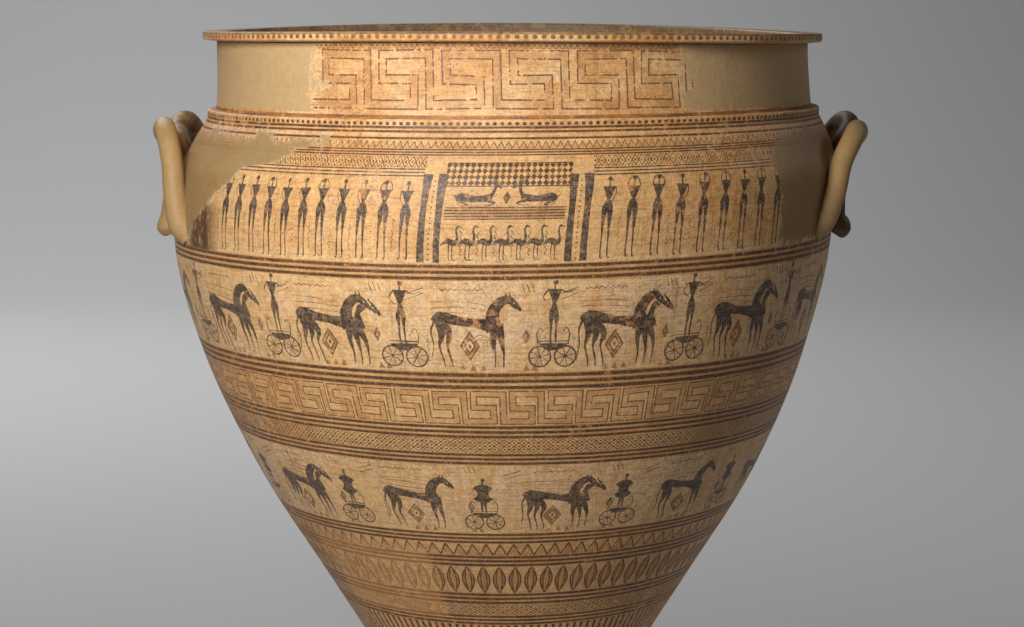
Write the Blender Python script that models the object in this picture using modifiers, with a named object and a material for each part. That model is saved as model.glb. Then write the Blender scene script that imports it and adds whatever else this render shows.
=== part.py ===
# A large footed mixing bowl of fired clay: a deep bowl with a straight neck and a flat lip,
# a hollow flaring foot, and a double-loop handle on each shoulder, all fired as one piece.
# Units are metres, +Z is up, the foot stands on Z = 0 and the handles lie along X.

import math

import bmesh
import bpy

# Foot and stem
stem_radius = 0.108
stem_height = 0.245
foot_spread = 0.070
foot_edge_height = 0.014
foot_flare_power = 1.8
foot_wall = 0.014
foot_rounding = 0.003
floor_thickness = 0.026

# Bowl, from the stem up to the belly and in to the shoulder
belly_radius = 0.389
belly_rise = 0.640
shoulder_rise = 0.1033
shoulder_narrowing = 0.0306
bowl_wall = 0.012
# How full the bowl is between stem and belly: share of the height, share of the widening
bowl_curve = ((0.19, 0.222), (0.30, 0.375), (0.52, 0.677), (0.74, 0.888), (0.92, 0.988))
# The same between shoulder and belly, read downwards from the belly
shoulder_curve = ((0.39, 0.925), (0.76, 0.440))

# Ledge, neck and lip
ledge_thickness = 0.0102
ledge_rounding = 0.0026
ledge_step = 0.0097
neck_height = 0.0750
neck_waisting = 0.0032
neck_wall = 0.013
lip_overhang = 0.0165
lip_thickness = 0.0098
lip_rise = 0.0017
lip_rounding = 0.0026

# Unevenness of a pot built up by hand
foot_lean = -0.0045
belly_lean = -0.0065
belly_lean_reach = 0.17
mouth_lean = 0.0085
lip_lean = -0.0025
lip_wave_front = 0.0048
lip_wave_back = 0.0068
lip_tilt = -0.0014

# Double-loop handles. Each loop was shaped by hand: the turns of its root and its top are in
# degrees from the X axis, and the rest says how far its root lies under the belly's widest ring,
# how far it stands out from the belly, how far it rises above it and how far its foot stands out
# from the wall.
handle_thickness = 0.0245
handle_middle_drop = 0.032
handle_middle_turn = 1.4
handle_loops = {
    "left_near": {
        "root_turn": 21.5, "root_drop": 0.022, "top_turn": 12.5, "stand": 0.0195, "rise": 0.0920, "flare": 0.0055,
    },
    "left_far": {
        "root_turn": 22.0, "root_drop": 0.022, "top_turn": 11.5, "stand": 0.0180, "rise": 0.0915, "flare": 0.0055,
    },
    "right_near": {
        "root_turn": 23.0, "root_drop": 0.015, "top_turn": 12.0, "stand": 0.0155, "rise": 0.0885, "flare": 0.0085,
    },
    "right_far": {
        "root_turn": 21.0, "root_drop": 0.016, "top_turn": 9.0, "stand": 0.0195, "rise": 0.0920, "flare": 0.0085,
    },
}

segments = 64
bar_resolution = 2
clay_colour = (0.62, 0.42, 0.24, 1.0)

foot_radius = stem_radius + foot_spread
belly_height = stem_height + belly_rise
shoulder_height = belly_height + shoulder_rise
shoulder_radius = belly_radius - shoulder_narrowing
ledge_height = shoulder_height + ledge_thickness
neck_base_radius = shoulder_radius - ledge_step
neck_waist_radius = neck_base_radius - neck_waisting
lip_underside_height = ledge_height + neck_height
lip_top_height = lip_underside_height + lip_rise + lip_thickness
lip_radius = neck_waist_radius + lip_overhang
mouth_radius = neck_waist_radius - neck_wall
floor_height = stem_height + floor_thickness / 2
ceiling_height = stem_height - floor_thickness / 2
floor_radius = stem_radius * 0.55


def smooth_step(low, high, value):
    share = min(1.0, max(0.0, (value - low) / (high - low)))
    return share * share * (3 - 2 * share)


def smooth_line(points, value):
    """Reads a smooth curve through points of rising first value, level at its first point
    and at every turn, without overshoot."""
    widths = [b[0] - a[0] for a, b in zip(points, points[1:])]
    steeps = [(b[1] - a[1]) / w for a, b, w in zip(points, points[1:], widths)]
    slopes = [0.0]
    for before, after in zip(steeps, steeps[1:]):
        turns = before * after <= 0
        slopes.append(0.0 if turns else 2 * before * after / (before + after))
    slopes.append(steeps[-1])
    i = 0
    while i < len(widths) - 1 and value > points[i + 1][0]:
        i += 1
    t = (value - points[i][0]) / widths[i]
    start = (2 * t**3 - 3 * t**2 + 1) * points[i][1] + (t**3 - 2 * t**2 + t) * widths[i] * slopes[i]
    end = (3 * t**2 - 2 * t**3) * points[i + 1][1] + (t**3 - t**2) * widths[i] * slopes[i + 1]
    return start + end


def bowl_line():
    """Heights and outer radii from the stem to the shoulder."""
    line = [(stem_height, stem_radius)]
    for up, full in bowl_curve:
        height = stem_height + up * (belly_height - stem_height)
        line.append((height, stem_radius + full * (belly_radius - stem_radius)))
    line.append((belly_height, belly_radius))
    for up, full in shoulder_curve:
        height = belly_height + up * (shoulder_height - belly_height)
        line.append((height, shoulder_radius + full * (belly_radius - shoulder_radius)))
    line.append((shoulder_height, shoulder_radius))
    return line


def bowl_radius(height):
    return smooth_line(bowl_line(), height)


def foot_outer_radius(height):
    """The flaring foot's outer radius, above its upright edge."""
    share = (stem_height - height) / (stem_height - foot_edge_height)
    return stem_radius + (foot_radius - stem_radius) * share**foot_flare_power


def offset_inwards(radius_at, height, wall):
    """The radius of a wall's inner side, square to its slope."""
    step = 0.001
    slope = (radius_at(height + step) - radius_at(height - step)) / (2 * step)
    return radius_at(height) - wall * math.hypot(1.0, slope)


def spaced(low, high, count):
    return [low + (high - low) * i / count for i in range(count + 1)]


def neck_radius(height):
    """The neck is slightly waisted just under the lip and widens towards the ledge."""
    share = (lip_underside_height - height) / neck_height
    return neck_waist_radius + (neck_base_radius - neck_waist_radius) * share**2


def bowl_outline():
    """The turned section, from the bowl's floor up the inside, over the lip, down the outside
    and up under the foot to its ceiling. Both ends lie on the axis."""
    inside = [(0.0, floor_height), (floor_radius, floor_height + 0.1 * floor_thickness)]
    for height in spaced(floor_height + 0.85 * floor_thickness, belly_height, 8):
        inside.append((offset_inwards(bowl_radius, height, bowl_wall), height))
    for height in spaced(belly_height, shoulder_height - bowl_wall / 2, 3)[1:]:
        inside.append((offset_inwards(bowl_radius, height, bowl_wall), height))
    inside.append((neck_base_radius - neck_wall, ledge_height))
    inside.append((mouth_radius, lip_underside_height))
    inside.append((mouth_radius, lip_top_height - lip_rounding))
    inside.append((mouth_radius + lip_rounding, lip_top_height))

    lip_bottom = lip_top_height - lip_thickness
    outside = [
        (lip_radius - lip_rounding, lip_top_height),
        (lip_radius, lip_top_height - lip_rounding),
        (lip_radius, lip_bottom + lip_rounding),
        (lip_radius - lip_rounding, lip_bottom),
        (neck_waist_radius + 2 * lip_rise, lip_bottom - 0.6 * lip_rise),
    ]
    for height in reversed(spaced(ledge_height, lip_underside_height - lip_rise, 3)):
        outside.append((neck_radius(height), height))
    outside += [
        (shoulder_radius - ledge_rounding, ledge_height),
        (shoulder_radius, ledge_height - ledge_rounding),
    ]
    for height in reversed(spaced(belly_height, shoulder_height, 5)):
        outside.append((bowl_radius(height), height))
    for height in reversed(spaced(stem_height, belly_height, 13)[:-1]):
        outside.append((bowl_radius(height), height))
    for height in reversed(spaced(foot_edge_height, stem_height, 5)[:-1]):
        outside.append((foot_outer_radius(height), height))

    outside.append((foot_radius, foot_rounding))
    outside.append((foot_radius - foot_rounding, 0.0))
    under = [(foot_radius - foot_wall, 0.0)]
    for height in spaced(foot_edge_height, ceiling_height - floor_thickness / 2, 4):
        under.append((offset_inwards(foot_outer_radius, height, foot_wall), height))
    under.append((floor_radius, ceiling_height - 0.05 * floor_thickness))
    under.append((0.0, ceiling_height))
    return inside + outside + under


def lean_at(height):
    """How far the pot's centre strays along X at a height."""
    below_belly = (belly_height - belly_lean_reach / 2 - height) / belly_lean_reach
    belly = belly_lean * math.exp(-(below_belly**2))
    mouth = mouth_lean * smooth_step(belly_height - 0.25 * shoulder_rise, ledge_height, height)
    lip = lip_lean * smooth_step(ledge_height, lip_underside_height, height)
    return foot_lean + belly + mouth + lip


def make_uneven(mesh):
    """Leans the turned form as a hand-built pot leans, and waves its lip up at front and back."""
    wave_start = shoulder_height - 0.3 * shoulder_rise
    for vertex in mesh.vertices:
        x, y, height = vertex.co
        distance = math.hypot(x, y)
        sideways, across = (x / distance, y / distance) if distance > 1e-6 else (0.0, 0.0)
        wave = lip_wave_back if y > 0 else lip_wave_front
        rise = wave * across**2 + lip_tilt * sideways
        vertex.co.x = x + lean_at(height)
        vertex.co.z = height + rise * smooth_step(wave_start, lip_underside_height, height)


def evaluated_mesh(source):
    """A plain mesh object from an object's evaluated shape. The source is removed."""
    bpy.context.view_layer.update()
    graph = bpy.context.evaluated_depsgraph_get()
    mesh = bpy.data.meshes.new_from_object(source.evaluated_get(graph))
    made = bpy.data.objects.new(source.name + "_mesh", mesh)
    made.matrix_world = source.matrix_world.copy()
    bpy.data.objects.remove(source)
    return made


def weld(mesh, distance=0.00002):
    shape = bmesh.new()
    shape.from_mesh(mesh)
    bmesh.ops.remove_doubles(shape, verts=shape.verts, dist=distance)
    bmesh.ops.recalc_face_normals(shape, faces=shape.faces)
    shape.to_mesh(mesh)
    shape.free()


def turned_bowl(collection):
    outline = bowl_outline()
    mesh = bpy.data.meshes.new("bowl_outline")
    points = [(radius, 0.0, height) for radius, height in outline]
    edges = [(i, i + 1) for i in range(len(points) - 1)]
    mesh.from_pydata(points, edges, [])
    profile = bpy.data.objects.new("bowl_profile", mesh)
    collection.objects.link(profile)
    turn = profile.modifiers.new("turn", "SCREW")
    turn.axis = "Z"
    turn.steps = segments
    turn.render_steps = segments
    turn.use_merge_vertices = True
    turn.merge_threshold = 0.00005
    bowl = evaluated_mesh(profile)
    collection.objects.link(bowl)
    weld(bowl.data)
    make_uneven(bowl.data)
    return bowl


def handle_loop(collection, name, side, towards, loop):
    """One loop of a double handle, from its outer root over the top and down the middle.
    side is +1 or -1 along X, and towards is -1 for the loop at the front, +1 for the back."""
    half = handle_thickness / 2
    reach = belly_radius + loop["stand"]
    root_height = belly_height - loop["root_drop"]
    height_span = loop["root_drop"] + loop["rise"]
    root_turn = math.radians(loop["root_turn"])
    top_turn = math.radians(loop["top_turn"])
    middle_turn = math.radians(handle_middle_turn)
    outer = root_turn - top_turn
    inner = top_turn - middle_turn

    def at(turn, radius, share):
        height = root_height + share * height_span
        x = side * radius * math.cos(turn) + lean_at(height)
        return x, towards * radius * math.sin(turn), height

    root_wall = bowl_radius(root_height)
    middle_wall = bowl_radius(belly_height - handle_middle_drop)
    middle = (loop["root_drop"] - handle_middle_drop) / height_span
    route = [
        (at(root_turn + 0.12 * outer, root_wall - 0.62 * half, -0.08), 0.95),
        (at(root_turn, root_wall + 0.15 * half, 0.06), 1.22),
        (at(root_turn - 0.12 * outer, root_wall + 0.75 * half, 0.32), 1.06),
        (at(root_turn - 0.32 * outer, reach - 0.45 * half, 0.68), 1.0),
        (at(top_turn + 0.40 * outer, reach - 0.05 * half, 0.92), 1.0),
        (at(top_turn, reach, 1.0), 1.02),
        (at(top_turn - 0.42 * inner, reach - 0.10 * half, 0.93), 1.0),
        (at(middle_turn + 0.05 * inner, reach - 1.25 * half, 0.72), 1.08),
        (at(middle_turn, middle_wall + 0.38 * half, middle + 0.30), 0.98),
        (at(middle_turn, middle_wall + 0.42 * half, middle + 0.14), 1.08),
        (at(middle_turn, middle_wall + loop["flare"], middle + 0.02), 1.40),
    ]
    curve = bpy.data.curves.new(name, "CURVE")
    curve.dimensions = "3D"
    curve.bevel_depth = half
    curve.bevel_resolution = bar_resolution
    curve.use_fill_caps = True
    curve.resolution_u = 3
    line = curve.splines.new("BEZIER")
    line.bezier_points.add(len(route) - 1)
    for point, (place, width) in zip(line.bezier_points, route):
        point.co = place
        point.radius = width
        point.handle_left_type = "AUTO"
        point.handle_right_type = "AUTO"
    bar = bpy.data.objects.new(name, curve)
    collection.objects.link(bar)
    solid = evaluated_mesh(bar)
    collection.objects.link(solid)
    weld(solid.data)
    return solid


def join(target, added):
    """Unites another solid with the target and removes it."""
    union = target.modifiers.new("join", "BOOLEAN")
    union.operation = "UNION"
    union.solver = "EXACT"
    union.object = added
    bpy.context.view_layer.update()
    graph = bpy.context.evaluated_depsgraph_get()
    mesh = bpy.data.meshes.new_from_object(target.evaluated_get(graph))
    target.modifiers.remove(union)
    target.data = mesh
    bpy.data.objects.remove(added)


def clay_material():
    material = bpy.data.materials.new("fired_clay")
    material.use_nodes = True
    shader = material.node_tree.nodes["Principled BSDF"]
    shader.inputs["Base Color"].default_value = clay_colour
    shader.inputs["Roughness"].default_value = 0.72
    shader.inputs["Metallic"].default_value = 0.0
    return material


def build():
    for thing in list(bpy.data.objects):
        bpy.data.objects.remove(thing)
    collection = bpy.data.collections.new("geometric_krater")
    bpy.context.scene.collection.children.link(collection)

    krater = turned_bowl(collection)
    for side_name, side in (("left", -1), ("right", 1)):
        for place, towards in (("near", -1), ("far", 1)):
            name = f"{side_name}_{place}"
            join(krater, handle_loop(collection, f"handle_{name}", side, towards, handle_loops[name]))

    krater.name = "krater"
    krater.data.name = "krater"
    krater.data.materials.clear()
    krater.data.materials.append(clay_material())
    krater.data.shade_smooth()
    krater.data.set_sharp_from_angle(angle=math.radians(40))


build()
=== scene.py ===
import math
import random

import bpy
import numpy as np
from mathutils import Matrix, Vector
from mathutils.geometry import delaunay_2d_cdt


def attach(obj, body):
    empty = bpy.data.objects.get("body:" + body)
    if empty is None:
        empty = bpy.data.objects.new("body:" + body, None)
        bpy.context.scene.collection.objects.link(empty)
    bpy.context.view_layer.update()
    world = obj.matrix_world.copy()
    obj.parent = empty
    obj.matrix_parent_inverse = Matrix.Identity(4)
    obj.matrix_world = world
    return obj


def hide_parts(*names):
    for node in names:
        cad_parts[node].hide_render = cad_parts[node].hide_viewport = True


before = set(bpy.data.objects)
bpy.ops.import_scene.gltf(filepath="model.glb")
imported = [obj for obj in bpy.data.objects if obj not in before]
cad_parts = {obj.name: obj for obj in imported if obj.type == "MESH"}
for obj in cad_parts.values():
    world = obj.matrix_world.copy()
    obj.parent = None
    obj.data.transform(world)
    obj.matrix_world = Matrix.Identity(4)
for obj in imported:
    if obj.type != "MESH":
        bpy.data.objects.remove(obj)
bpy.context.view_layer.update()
print("frame loaded:", sorted(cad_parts))

# The pot's form, in metres, the same values as in the CAD source
form = {
    "stemRadius": 0.108, "stemHeight": 0.245, "footSpread": 0.070, "footEdgeHeight": 0.014,
    "footFlarePower": 1.8, "footWall": 0.014, "footRounding": 0.003, "floorThickness": 0.026,
    "bellyRadius": 0.389, "bellyRise": 0.640, "shoulderRise": 0.1033, "shoulderNarrowing": 0.0306,
    "bowlWall": 0.012,
    "bowlCurve": ((0.19, 0.222), (0.30, 0.375), (0.52, 0.677), (0.74, 0.888), (0.92, 0.988)),
    "shoulderCurve": ((0.39, 0.925), (0.76, 0.440)),
    "ledgeThickness": 0.0102, "ledgeRounding": 0.0026, "ledgeStep": 0.0097,
    "neckHeight": 0.0750, "neckWaisting": 0.0032, "neckWall": 0.013,
    "lipOverhang": 0.0165, "lipThickness": 0.0098, "lipRise": 0.0017, "lipRounding": 0.0026,
    "footLean": -0.0045, "bellyLean": -0.0065, "bellyLeanReach": 0.17, "mouthLean": 0.0085,
    "lipLean": -0.0025, "lipWaveFront": 0.0048, "lipWaveBack": 0.0068, "lipTilt": -0.0014,
    "columns": 208, "rowHeight": 0.010, "roundingSteps": 4, "fillPitch": 15, "longestEdge": 24,
    "sharpCorner": 35, "lipDots": 244, "pictureMargin": (0.4, 0.35),
}
footRadius = form["stemRadius"] + form["footSpread"]
bellyHeight = form["stemHeight"] + form["bellyRise"]
shoulderHeight = bellyHeight + form["shoulderRise"]
shoulderRadius = form["bellyRadius"] - form["shoulderNarrowing"]
ledgeHeight = shoulderHeight + form["ledgeThickness"]
neckBaseRadius = shoulderRadius - form["ledgeStep"]
neckWaistRadius = neckBaseRadius - form["neckWaisting"]
lipUnderside = ledgeHeight + form["neckHeight"]
lipBottom = lipUnderside + form["lipRise"]
lipTop = lipBottom + form["lipThickness"]
lipRadius = neckWaistRadius + form["lipOverhang"]
mouthRadius = neckWaistRadius - form["neckWall"]
neckTop = lipBottom - 0.6 * form["lipRise"]
floorHeight = form["stemHeight"] + form["floorThickness"] / 2
ceilingHeight = form["stemHeight"] - form["floorThickness"] / 2
floorRadius = form["stemRadius"] * 0.55
# How far the painted rings stray up at the right and down at the left: height, metres
ringDrift = ((0.245, 0.0), (0.44, 0.001), (0.54, 0.002), (0.64, -0.001), (0.73, 0.0),
             (0.85, 0.004), (0.95, 0.003), (1.0, 0.0022), (1.0725, 0.0))


def smoothStep(low, high, value):
    share = np.clip((value - low) / (high - low), 0, 1)
    return share * share * (3 - 2 * share)


def smoothLine(points, value):
    places, values = np.array(points).T
    widths = np.diff(places)
    steeps = np.diff(values) / widths
    slopes = np.zeros(len(places))
    for i in range(1, len(places) - 1):
        before, after = steeps[i - 1], steeps[i]
        slopes[i] = 0 if before * after <= 0 else 2 * before * after / (before + after)
    slopes[-1] = steeps[-1]
    i = np.clip(np.searchsorted(places, value) - 1, 0, len(widths) - 1)
    t = (value - places[i]) / widths[i]
    start = (2 * t**3 - 3 * t**2 + 1) * values[i] + (t**3 - 2 * t**2 + t) * widths[i] * slopes[i]
    end = (3 * t**2 - 2 * t**3) * values[i + 1] + (t**3 - t**2) * widths[i] * slopes[i + 1]
    return start + end


def bowlLine():
    line = [(form["stemHeight"], form["stemRadius"])]
    for up, full in form["bowlCurve"]:
        radius = form["stemRadius"] + full * (form["bellyRadius"] - form["stemRadius"])
        line.append((form["stemHeight"] + up * form["bellyRise"], radius))
    line.append((bellyHeight, form["bellyRadius"]))
    for up, full in form["shoulderCurve"]:
        radius = shoulderRadius + full * (form["bellyRadius"] - shoulderRadius)
        line.append((bellyHeight + up * form["shoulderRise"], radius))
    line.append((shoulderHeight, shoulderRadius))
    return line


def outerRadius(height):
    height = np.asarray(height, float)
    low, high = form["footEdgeHeight"], form["stemHeight"]
    footShare = np.clip((high - height) / (high - low), 0, 1)
    foot = form["stemRadius"] + form["footSpread"] * footShare ** form["footFlarePower"]
    bowl = smoothLine(bowlLine(), np.clip(height, high, shoulderHeight))
    neckShare = np.clip((lipUnderside - height) / form["neckHeight"], 0, 1)
    neck = neckWaistRadius + (neckBaseRadius - neckWaistRadius) * neckShare**2
    return np.where(height < high, foot, np.where(height <= shoulderHeight, bowl, neck))


def innerRadius(height, wall):
    step = 0.001
    slope = (outerRadius(height + step) - outerRadius(height - step)) / (2 * step)
    return outerRadius(height) - wall * np.hypot(1.0, slope)


def leanAt(height):
    belowBelly = (bellyHeight - form["bellyLeanReach"] / 2 - height) / form["bellyLeanReach"]
    belly = form["bellyLean"] * np.exp(-(belowBelly**2))
    mouthStart = bellyHeight - 0.25 * form["shoulderRise"]
    mouth = form["mouthLean"] * smoothStep(mouthStart, ledgeHeight, height)
    lip = form["lipLean"] * smoothStep(ledgeHeight, lipUnderside, height)
    return form["footLean"] + belly + mouth + lip


def skinPoint(turn, radius, height, painted):
    sideways = np.sin(turn)
    across = -np.cos(turn)
    if painted:  # a painted ring wanders on the wall, so the wall's radius is read where it ends up
        places, drifts = zip(*ringDrift)
        drift = np.interp(height, places, drifts) * sideways
        follows = 1 - smoothStep(bellyHeight, shoulderHeight, height)
        radius = radius + outerRadius(height + follows * drift) - outerRadius(height)
        height = height + drift
    wave = np.where(across > 0, form["lipWaveBack"], form["lipWaveFront"])
    waveStart = shoulderHeight - 0.3 * form["shoulderRise"]
    rise = (wave * across**2 + form["lipTilt"] * sideways) * smoothStep(waveStart, lipUnderside, height)
    return np.stack([radius * sideways + leanAt(height), radius * across, height + rise], -1)


# Brush drawings, in millimetres on the unrolled wall: x to the right, y up from the frieze's foot
brushForm = {"strokeShake": 0.16, "discShake": 0.03, "lozengeShake": 0.15}


class Drawing:
    def __init__(self, seed):
        self.shapes = []
        self.hand = random.Random(seed)
        self.moveTo(0, 0)

    def moveTo(self, x, y, size=1.0, flip=1):
        self.origin = (x, y, size, flip)

    def area(self, points, tone=1.0, pattern=None, shake=0.0):
        x0, y0, size, flip = self.origin
        points = np.array(points, float) * (size * flip, size) + (x0, y0)
        if shake:
            points += [[self.hand.gauss(0, shake) for _ in "xy"] for _ in points]
        self.shapes.append((points, tone, pattern))

    def box(self, left, right, low, high, tone=1.0, pattern=None):
        self.area([(left, low), (right, low), (right, high), (left, high)], tone, pattern)

    def stroke(self, points, widths, tone=1.0, bends=3):
        line = np.array(points, float)
        if np.isscalar(widths):
            widths = [widths] * len(line)
        ends = np.vstack([2 * line[0] - line[1], line, 2 * line[-1] - line[-2]])
        steps = np.append(np.arange(0, len(line) - 1, 1 / bends), len(line) - 1)
        path, sides = [], []
        for step in steps:
            i = min(int(step), len(line) - 2)
            t = step - i
            a, b, c, d = ends[i:i + 4]
            square, cube = 2 * a - 5 * b + 4 * c - d, 3 * b - a - 3 * c + d
            path.append(0.5 * (2 * b + (c - a) * t + square * t**2 + cube * t**3))
            slope = 0.5 * ((c - a) + 2 * square * t + 3 * cube * t**2)
            slope = slope / max(np.hypot(*slope), 1e-6)
            width = widths[i] + (widths[i + 1] - widths[i]) * t
            sides.append(np.array([-slope[1], slope[0]]) * width / 2)
        path, sides = np.array(path), np.array(sides)
        self.area(np.vstack([path + sides, (path - sides)[::-1]]), tone, shake=brushForm["strokeShake"])

    def disc(self, x, y, radius, tone=1.0, high=1.0, corners=10):
        turns = np.linspace(0, 2 * math.pi, corners, endpoint=False)
        outline = np.stack([x + radius * np.cos(turns), y + high * radius * np.sin(turns)], 1)
        self.area(outline, tone, shake=brushForm["discShake"] * radius**0.5)

    def lozengeNest(self, x, y, wide, high, line=1.3, inner=0.4):
        sizes = (1.0, 1.0 - line / wide, 0.56, 0.56 - line / wide, 0.16)
        for size, tone in zip(sizes, (1.0, inner, 1.0, 0.0, 1.0)):
            w, h = wide * size, high * size
            self.area([(x - w, y), (x, y - h), (x + w, y), (x, y + h)], tone, shake=brushForm["lozengeShake"])

    def waves(self, x, y, length, turns, swing, line=0.8, upright=True):
        steps = np.arange(turns + 1)
        along, aside = steps * length / turns, swing * (-1.0) ** steps
        points = np.stack([x + aside, y + along] if upright else [x + along, y + aside], 1)
        self.stroke(points, line)


figureForm = {"footSpread": 3.6, "kneeHeight": 21, "thighHeight": 37, "hipHeight": 49, "waistHeight": 60,
              "shoulderHeight": 72, "shoulderHalf": 6.9, "headHeight": 79, "headRadius": 2.3, "hipWidth": 6.4}


def standingFigure(d, armsUp, stance):
    f = figureForm
    hip, waist, head = f["hipHeight"], f["waistHeight"], f["headHeight"]
    top, half = f["shoulderHeight"], f["shoulderHalf"]
    sway = d.hand.uniform(-0.6, 0.6)
    for side in (-1, 1):
        foot = side * f["footSpread"] * stance
        d.stroke([(foot + 2.6, 0.8), (foot, 1.2), (foot - 0.2 * side, f["kneeHeight"]),
                  (side * 3.2, f["thighHeight"]), (side * 2.9, hip), (side * 1.3 + sway, hip + 7),
                  (sway, waist)], [0.9, 1.5, 1.7, 3.6, f["hipWidth"], 4.6, 1.8])
    d.area([(sway - 1.2, waist - 2), (sway + 1.2, waist - 2), (sway + half, top), (sway - half, top + 0.4)],
           shake=0.2)
    d.stroke([(sway, top - 1), (sway + 0.2, head)], [2.0, 1.5])
    d.disc(sway + 0.5, head + 1.2, f["headRadius"], high=1.1)
    d.stroke([(sway + 1.6, head + 0.8), (sway + 4.0, head - 0.6)], [1.2, 0.6], bends=2)
    if armsUp:
        for side in (-1, 1):
            d.stroke([(sway + side * half, top - 0.4), (sway + side * (half - 1.4), top + 6),
                      (sway + side * 2.2, head + 3.0)], [1.3, 1.0, 0.8])
    else:
        d.stroke([(sway + half - 0.3, top), (sway + half + 0.4, top - 8), (sway + 3.4, top - 15)],
                 [1.2, 0.9, 0.7])


horseForm = {"rumpHeight": 52, "chest": 60, "chestHeight": 45, "headHeight": 71,
             "neckWidths": (17, 13, 10.5, 8.2, 5.6), "secondHead": (9.5, 5.5), "maneHairs": 7}


def horse(d, paired, reach):
    f = horseForm
    rump, low, chest = f["rumpHeight"], f["chestHeight"], f["chest"] * reach
    for order in range(2 + paired):
        x = 4 + 8 * order
        d.stroke([(9 + order * 3, rump - 3), (x + 6, rump - 17), (x + 3.2, 23), (x + 6.5, 9), (x + 7.5, 0.5)],
                 [10.5, 6.8, 2.3, 1.7, 1.2])
    for order in range(2 + paired):
        x = chest + 1 + 8.5 * order
        d.stroke([(chest + 4 + order * 3, low + 2), (x + 1, 28), (x + 3, 14), (x + 2.4, 0.5)],
                 [11.5, 5.4, 1.9, 1.2])
    d.stroke([(3, rump - 4), (10, rump + 1.5), (26, rump - 1.5), (42, low + 3), (chest + 2, low)],
             [9, 13, 10, 8.5, 14])
    d.stroke([(3.5, rump - 1), (-0.5, rump - 14), (1.5, 25), (-1.0, 12)], [2.4, 1.6, 1.3, 0.8])
    for behind in range(paired, -1, -1):  # the far head first
        x, y = chest + f["secondHead"][0] * behind, f["headHeight"] - f["secondHead"][1] * behind
        path = [(x + 4, 39), (x + 1.5, 56), (x + 8.5, y - 2), (x + 18, y + 1.0), (x + 26, y - 7)]
        if paired and not behind:  # a thin bare line parts the near neck from the far one
            d.stroke([(u + 1.6, v - 0.8) for u, v in path[1:]], [w + 2.0 for w in f["neckWidths"][1:]], 0.0)
        d.stroke(path, f["neckWidths"])
        d.stroke([(x + 21, y - 2.0), (x + 26, y - 6.0), (x + 29.5, y - 10.5)], [7.2, 5.0, 2.8])
        for hair in range(f["maneHairs"]):
            u, v = x - 4 + hair * 2.7, 58 + 16 * math.sin(hair / f["maneHairs"] * 1.45)
            d.stroke([(u + 2.5, v - 1.0), (u - 0.8, v + 1.8)], [1.3, 0.5], bends=2)
        for ear in (0, 3.4):
            d.stroke([(x + 15 + ear, y + 3.5), (x + 14.6 + ear, y + 8.6)], [2.2, 0.6], bends=2)
        d.disc(x + 22.5, y - 2.4, 1.0, 0.0, corners=8)


cartForm = {"wheelRadius": 12.0, "wheelLine": 1.7, "wheelTone": 0.12, "hubRadius": 1.7, "spokes": 4,
            "axleGap": 26, "floorHeight": 26}


def cart(d, x, loops):
    f = cartForm
    radius, floor = f["wheelRadius"], f["floorHeight"]
    for side in (-0.5, 0.5):
        middle = x + side * f["axleGap"]
        d.disc(middle, radius, radius, corners=20)
        d.disc(middle, radius, radius - f["wheelLine"], f["wheelTone"], corners=18)
        for spoke in range(f["spokes"]):
            turn = math.pi * spoke / f["spokes"] + 0.25
            dx, dy = (radius - 1) * math.cos(turn), (radius - 1) * math.sin(turn)
            d.stroke([(middle - dx, radius - dy), (middle + dx, radius + dy)], 0.9, bends=2)
        d.disc(middle, radius, f["hubRadius"], corners=8)
    d.area([(x - 14, floor), (x + 15, floor), (x + 13, floor - 4), (x + 4, floor - 7.5), (x - 4, floor - 7.5),
            (x - 12, floor - 4)], shake=0.2)
    d.stroke([(x - 15, floor + 2.4), (x + 16, floor + 2.4)], 0.9, bends=2)
    for side in loops:
        base = x + side * 15
        d.stroke([(base, floor - 1), (base + side * 1.5, floor + 10), (base - side * 2, floor + 16.5),
                  (base - side * 5.2, floor + 12)], [1.2, 1.1, 1.1, 0.8])


def driver(d, x, size):
    x0, y0, scale, _ = d.origin
    d.moveTo(x0 + x * scale, y0 + cartForm["floorHeight"] * scale, scale * size)
    for side in (-1, 1):
        d.stroke([(side * 3.0 + 2.4, 0.8), (side * 3.0, 1), (side * 2.7, 18), (side * 2.6, 33), (0, 46)],
                 [0.8, 1.7, 2.4, 6.2, 3.0])
    d.area([(-1.4, 44), (1.4, 44), (7.6, 61), (-7.6, 61.5)], shake=0.2)
    d.stroke([(0, 60), (0.3, 66)], [2.2, 1.7])
    d.disc(0.8, 68.6, figureForm["headRadius"] + 0.4, high=1.1)
    d.stroke([(-1, 71), (-4.2, 73.4)], [1.2, 0.5])
    d.stroke([(7, 60.5), (14, 57), (22, 60)], [1.6, 1.2, 0.8])
    d.stroke([(-7, 60.5), (-12, 52), (-5, 45)], [1.6, 1.1, 0.8])


def roundShield(d, x, y, radius):
    d.disc(x, y, radius, corners=22)
    for side in (-1, 1):
        d.disc(x + side * radius * 0.98, y, radius * 0.52, 0.0, corners=14)
    d.stroke([(x, y + radius - 1), (x + 0.4, y + radius + 5)], [2.4, 1.6])
    d.disc(x + 0.8, y + radius + 6.4, 2.4)
    for side in (-1, 1):
        d.stroke([(x + side * 1.6, y - radius + 3), (x + side * 2.6, 26.5)], [4.2, 1.6])


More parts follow.
